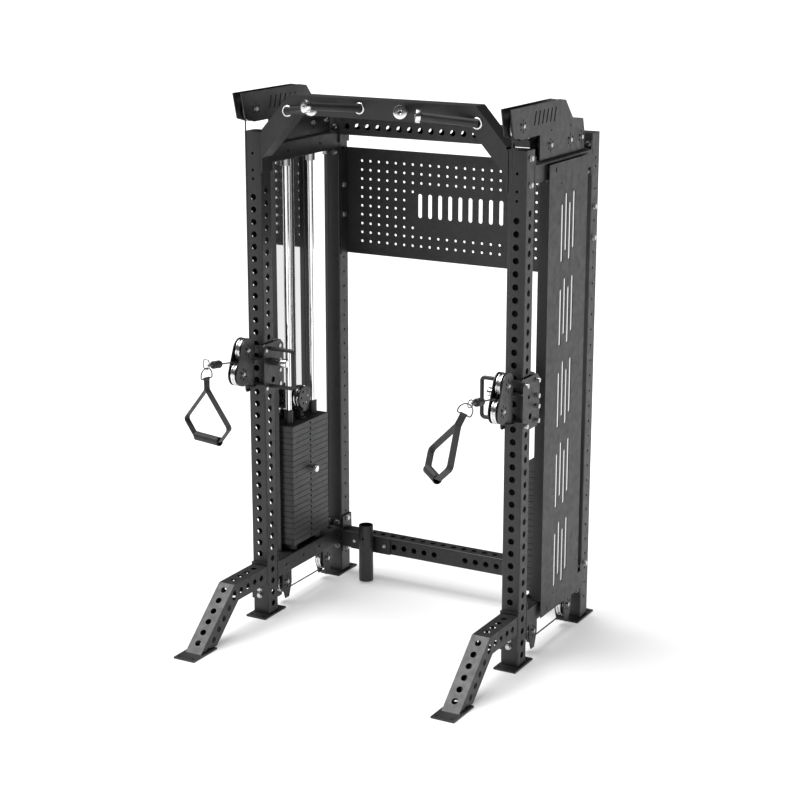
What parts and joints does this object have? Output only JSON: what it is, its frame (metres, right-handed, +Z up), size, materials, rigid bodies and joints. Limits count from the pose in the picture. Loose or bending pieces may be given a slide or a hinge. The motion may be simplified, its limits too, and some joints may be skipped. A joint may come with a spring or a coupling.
{
  "type": "functional trainer",
  "caption": "Free-standing cable machine with two weight stacks, sliding swivel trolleys, an angled pull-up arch, a pegboard and perforated uprights.",
  "frame": {"origin": "on the floor, on the mid-plane between the two towers, midway between the toes of the front feet and the heels of the rear base plates", "axes": "+X to the machine's left-to-right as the user faces it, +Y from the user to the back, +Z up"},
  "size_m": [1.3816, 1.3044, 2.2345],
  "materials": {
    "powder_coat": "charcoal textured powder coat",
    "shroud_paint": "charcoal fine-textured powder coat",
    "bright_sheet": "satin light-metal sheet behind the slots",
    "grip_bar": "textured dark bar with bright caps",
    "chrome_rod": "polished hard chrome",
    "iron_plate": "black painted cast iron",
    "zinc_bolt": "bright zinc-plated fasteners",
    "pulley_metal": "machined aluminium wheel",
    "stop_rubber": "black rubber stop, with a bright link",
    "nylon_strap": "black woven nylon webbing",
    "grip_rubber": "black ribbed grip",
    "cable_cover": "black nylon-coated steel cable"
  },
  "bodies": {
    "frame": {"front_uprights": "powder_coat", "rear_uprights": "powder_coat", "front_feet": "powder_coat", "lower_side_beams": "powder_coat", "upper_side_beams": "powder_coat", "lower_crossmember": "powder_coat", "upper_crossmember": "powder_coat", "pull_up_arch": "powder_coat", "pull_up_grips": "grip_bar", "pegboard": "powder_coat", "side_shrouds": "shroud_paint", "shroud_backings": "bright_sheet", "pulley_brackets": "powder_coat", "guide_rods": "chrome_rod", "resting_plates": "iron_plate", "bar_holder": "powder_coat", "frame_bolts": "zinc_bolt", "cable_run_l": "cable_cover", "cable_run_r": "cable_cover"},
    "trolley_l": {"trolley_l": "powder_coat", "side_handle_l": "grip_bar"},
    "pop_pin_l": {"pop_pin_l": "chrome_rod"},
    "swivel_l": {"swivel_l": "powder_coat", "cable_lead_l": "cable_cover"},
    "cable_end_l": {"cable_end_l": "stop_rubber"},
    "handle_l": {"handle_strap_l": "nylon_strap"},
    "handle_grip_l": {"handle_grip_l": "grip_rubber"},
    "stack_l": {"stack_head_l": "iron_plate", "picked_plates_l": "iron_plate"},
    "selector_pin_l": {"selector_pin_l": "chrome_rod"},
    "top_front_pulley_l": {"top_front_pulley_l": "pulley_metal"},
    "top_fore_pulley_l": {"top_fore_pulley_l": "pulley_metal"},
    "top_aft_pulley_l": {"top_aft_pulley_l": "pulley_metal"},
    "top_rear_pulley_l": {"top_rear_pulley_l": "pulley_metal"},
    "low_front_pulley_l": {"low_front_pulley_l": "pulley_metal"},
    "low_rear_pulley_l": {"low_rear_pulley_l": "pulley_metal"},
    "stack_pulley_l": {"stack_pulley_l": "pulley_metal"},
    "lead_pulley_l": {"lead_pulley_l": "pulley_metal"},
    "guide_pulley_l": {"guide_pulley_l": "pulley_metal"},
    "trolley_r": {"trolley_r": "powder_coat", "side_handle_r": "grip_bar"},
    "pop_pin_r": {"pop_pin_r": "chrome_rod"},
    "swivel_r": {"swivel_r": "powder_coat", "cable_lead_r": "cable_cover"},
    "cable_end_r": {"cable_end_r": "stop_rubber"},
    "handle_r": {"handle_strap_r": "nylon_strap"},
    "handle_grip_r": {"handle_grip_r": "grip_rubber"},
    "stack_r": {"stack_head_r": "iron_plate", "picked_plates_r": "iron_plate"},
    "selector_pin_r": {"selector_pin_r": "chrome_rod"},
    "top_front_pulley_r": {"top_front_pulley_r": "pulley_metal"},
    "top_fore_pulley_r": {"top_fore_pulley_r": "pulley_metal"},
    "top_aft_pulley_r": {"top_aft_pulley_r": "pulley_metal"},
    "top_rear_pulley_r": {"top_rear_pulley_r": "pulley_metal"},
    "low_front_pulley_r": {"low_front_pulley_r": "pulley_metal"},
    "low_rear_pulley_r": {"low_rear_pulley_r": "pulley_metal"},
    "stack_pulley_r": {"stack_pulley_r": "pulley_metal"},
    "lead_pulley_r": {"lead_pulley_r": "pulley_metal"},
    "guide_pulley_r": {"guide_pulley_r": "pulley_metal"}
  },
  "joints": [
    {"name": "trolley_slide_l", "type": "slide", "parent": "frame", "child": "trolley_l", "axis": [0, 0, 1], "range_m": [-0.6096, 0.6604], "deforming": ["cable_run_l"]},
    {"name": "pop_pin_l_pull", "type": "slide", "parent": "trolley_l", "child": "pop_pin_l", "axis": [1, 0, 0], "range_m": [-0.0135, 0], "stiffness_N_per_m": 1200, "springref_m": -0.016},
    {"name": "swivel_turn_l", "type": "hinge", "parent": "trolley_l", "child": "swivel_l", "pos_m": [-0.588, -0.12525, 1.081], "axis": [0, 0, 1], "range_deg": [-75, 75]},
    {"name": "lead_pulley_l_spin", "type": "hinge", "parent": "swivel_l", "child": "lead_pulley_l", "pos_m": [-0.588, -0.17125, 1.187], "axis": [1, 0, 0], "continuous": true},
    {"name": "guide_pulley_l_spin", "type": "hinge", "parent": "swivel_l", "child": "guide_pulley_l", "pos_m": [-0.588, -0.20925, 1.0945], "axis": [1, 0, 0], "continuous": true},
    {"name": "cable_pull_l", "type": "slide", "parent": "swivel_l", "child": "cable_end_l", "axis": [0, -0.9903, 0.1392], "range_m": [0, 1.8]},
    {"name": "handle_swing_l", "type": "hinge", "parent": "cable_end_l", "child": "handle_l", "pos_m": [-0.602, -0.41952, 1.13334], "axis": [0.9767, -0.2147, 0], "range_deg": [-70, 35]},
    {"name": "grip_spin_l", "type": "hinge", "parent": "handle_l", "child": "handle_grip_l", "pos_m": [-0.602, -0.41952, 0.87074], "axis": [0.9767, -0.2147, 0], "continuous": true},
    {"name": "stack_lift_l", "type": "slide", "parent": "frame", "child": "stack_l", "axis": [0, 0, 1], "range_m": [0, 0.9]},
    {"name": "selector_pin_l_pull", "type": "slide", "parent": "stack_l", "child": "selector_pin_l", "axis": [1, 0, 0], "range_m": [0, 0.09]},
    {"name": "stack_pulley_l_spin", "type": "hinge", "parent": "stack_l", "child": "stack_pulley_l", "pos_m": [-0.588, 0.26075, 0.89], "axis": [1, 0, 0], "continuous": true},
    {"name": "top_front_pulley_l_spin", "type": "hinge", "parent": "frame", "child": "top_front_pulley_l", "pos_m": [-0.588, -0.07925, 2.157], "axis": [1, 0, 0], "continuous": true},
    {"name": "top_fore_pulley_l_spin", "type": "hinge", "parent": "frame", "child": "top_fore_pulley_l", "pos_m": [-0.588, 0.16875, 2.06], "axis": [1, 0, 0], "continuous": true},
    {"name": "top_aft_pulley_l_spin", "type": "hinge", "parent": "frame", "child": "top_aft_pulley_l", "pos_m": [-0.588, 0.35275, 2.06], "axis": [1, 0, 0], "continuous": true},
    {"name": "top_rear_pulley_l_spin", "type": "hinge", "parent": "frame", "child": "top_rear_pulley_l", "pos_m": [-0.588, 0.45875, 2.06], "axis": [1, 0, 0], "continuous": true},
    {"name": "low_front_pulley_l_spin", "type": "hinge", "parent": "frame", "child": "low_front_pulley_l", "pos_m": [-0.588, 0.09675, 0.1], "axis": [1, 0, 0], "continuous": true},
    {"name": "low_rear_pulley_l_spin", "type": "hinge", "parent": "frame", "child": "low_rear_pulley_l", "pos_m": [-0.588, 0.43675, 0.1], "axis": [1, 0, 0], "continuous": true},
    {"name": "trolley_slide_r", "type": "slide", "parent": "frame", "child": "trolley_r", "axis": [0, 0, 1], "range_m": [-0.6096, 0.6604], "deforming": ["cable_run_r"]},
    {"name": "pop_pin_r_pull", "type": "slide", "parent": "trolley_r", "child": "pop_pin_r", "axis": [-1, 0, 0], "range_m": [-0.0135, 0], "stiffness_N_per_m": 1200, "springref_m": -0.016},
    {"name": "swivel_turn_r", "type": "hinge", "parent": "trolley_r", "child": "swivel_r", "pos_m": [0.588, -0.12525, 1.081], "axis": [0, 0, 1], "range_deg": [-75, 75]},
    {"name": "lead_pulley_r_spin", "type": "hinge", "parent": "swivel_r", "child": "lead_pulley_r", "pos_m": [0.588, -0.17125, 1.187], "axis": [1, 0, 0], "continuous": true},
    {"name": "guide_pulley_r_spin", "type": "hinge", "parent": "swivel_r", "child": "guide_pulley_r", "pos_m": [0.588, -0.20925, 1.0945], "axis": [1, 0, 0], "continuous": true},
    {"name": "cable_pull_r", "type": "slide", "parent": "swivel_r", "child": "cable_end_r", "axis": [0, -0.9903, 0.1392], "range_m": [0, 1.8]},
    {"name": "handle_swing_r", "type": "hinge", "parent": "cable_end_r", "child": "handle_r", "pos_m": [0.57805, -0.46781, 1.15485], "axis": [0.6845, -0.729, 0], "range_deg": [-42, 55]},
    {"name": "grip_spin_r", "type": "hinge", "parent": "handle_r", "child": "handle_grip_r", "pos_m": [0.48877, -0.55165, 0.92256], "axis": [0.6845, -0.729, 0], "continuous": true},
    {"name": "stack_lift_r", "type": "slide", "parent": "frame", "child": "stack_r", "axis": [0, 0, 1], "range_m": [0, 0.9]},
    {"name": "selector_pin_r_pull", "type": "slide", "parent": "stack_r", "child": "selector_pin_r", "axis": [-1, 0, 0], "range_m": [0, 0.09]},
    {"name": "stack_pulley_r_spin", "type": "hinge", "parent": "stack_r", "child": "stack_pulley_r", "pos_m": [0.588, 0.26075, 0.89], "axis": [1, 0, 0], "continuous": true},
    {"name": "top_front_pulley_r_spin", "type": "hinge", "parent": "frame", "child": "top_front_pulley_r", "pos_m": [0.588, -0.07925, 2.157], "axis": [1, 0, 0], "continuous": true},
    {"name": "top_fore_pulley_r_spin", "type": "hinge", "parent": "frame", "child": "top_fore_pulley_r", "pos_m": [0.588, 0.16875, 2.06], "axis": [1, 0, 0], "continuous": true},
    {"name": "top_aft_pulley_r_spin", "type": "hinge", "parent": "frame", "child": "top_aft_pulley_r", "pos_m": [0.588, 0.35275, 2.06], "axis": [1, 0, 0], "continuous": true},
    {"name": "top_rear_pulley_r_spin", "type": "hinge", "parent": "frame", "child": "top_rear_pulley_r", "pos_m": [0.588, 0.45875, 2.06], "axis": [1, 0, 0], "continuous": true},
    {"name": "low_front_pulley_r_spin", "type": "hinge", "parent": "frame", "child": "low_front_pulley_r", "pos_m": [0.588, 0.09675, 0.1], "axis": [1, 0, 0], "continuous": true},
    {"name": "low_rear_pulley_r_spin", "type": "hinge", "parent": "frame", "child": "low_rear_pulley_r", "pos_m": [0.588, 0.43675, 0.1], "axis": [1, 0, 0], "continuous": true}
  ],
  "couplings": [
    {"joint": "cable_pull_l", "follows": "stack_lift_l", "ratio": 2},
    {"joint": "stack_pulley_l_spin", "follows": "stack_lift_l", "rad_per_m": -21.739},
    {"joint": "top_front_pulley_l_spin", "follows": "stack_lift_l", "rad_per_m": 43.478},
    {"joint": "top_fore_pulley_l_spin", "follows": "stack_lift_l", "rad_per_m": 43.478},
    {"joint": "lead_pulley_l_spin", "follows": "stack_lift_l", "rad_per_m": -43.478},
    {"joint": "top_aft_pulley_l_spin", "follows": "trolley_slide_l", "rad_per_m": -21.739},
    {"joint": "top_rear_pulley_l_spin", "follows": "trolley_slide_l", "rad_per_m": -21.739},
    {"joint": "low_rear_pulley_l_spin", "follows": "trolley_slide_l", "rad_per_m": -21.739},
    {"joint": "low_front_pulley_l_spin", "follows": "trolley_slide_l", "rad_per_m": -21.739},
    {"joint": "cable_pull_r", "follows": "stack_lift_r", "ratio": 2},
    {"joint": "stack_pulley_r_spin", "follows": "stack_lift_r", "rad_per_m": -21.739},
    {"joint": "top_front_pulley_r_spin", "follows": "stack_lift_r", "rad_per_m": 43.478},
    {"joint": "top_fore_pulley_r_spin", "follows": "stack_lift_r", "rad_per_m": 43.478},
    {"joint": "lead_pulley_r_spin", "follows": "stack_lift_r", "rad_per_m": -43.478},
    {"joint": "top_aft_pulley_r_spin", "follows": "trolley_slide_r", "rad_per_m": -21.739},
    {"joint": "top_rear_pulley_r_spin", "follows": "trolley_slide_r", "rad_per_m": -21.739},
    {"joint": "low_rear_pulley_r_spin", "follows": "trolley_slide_r", "rad_per_m": -21.739},
    {"joint": "low_front_pulley_r_spin", "follows": "trolley_slide_r", "rad_per_m": -21.739}
  ]
}
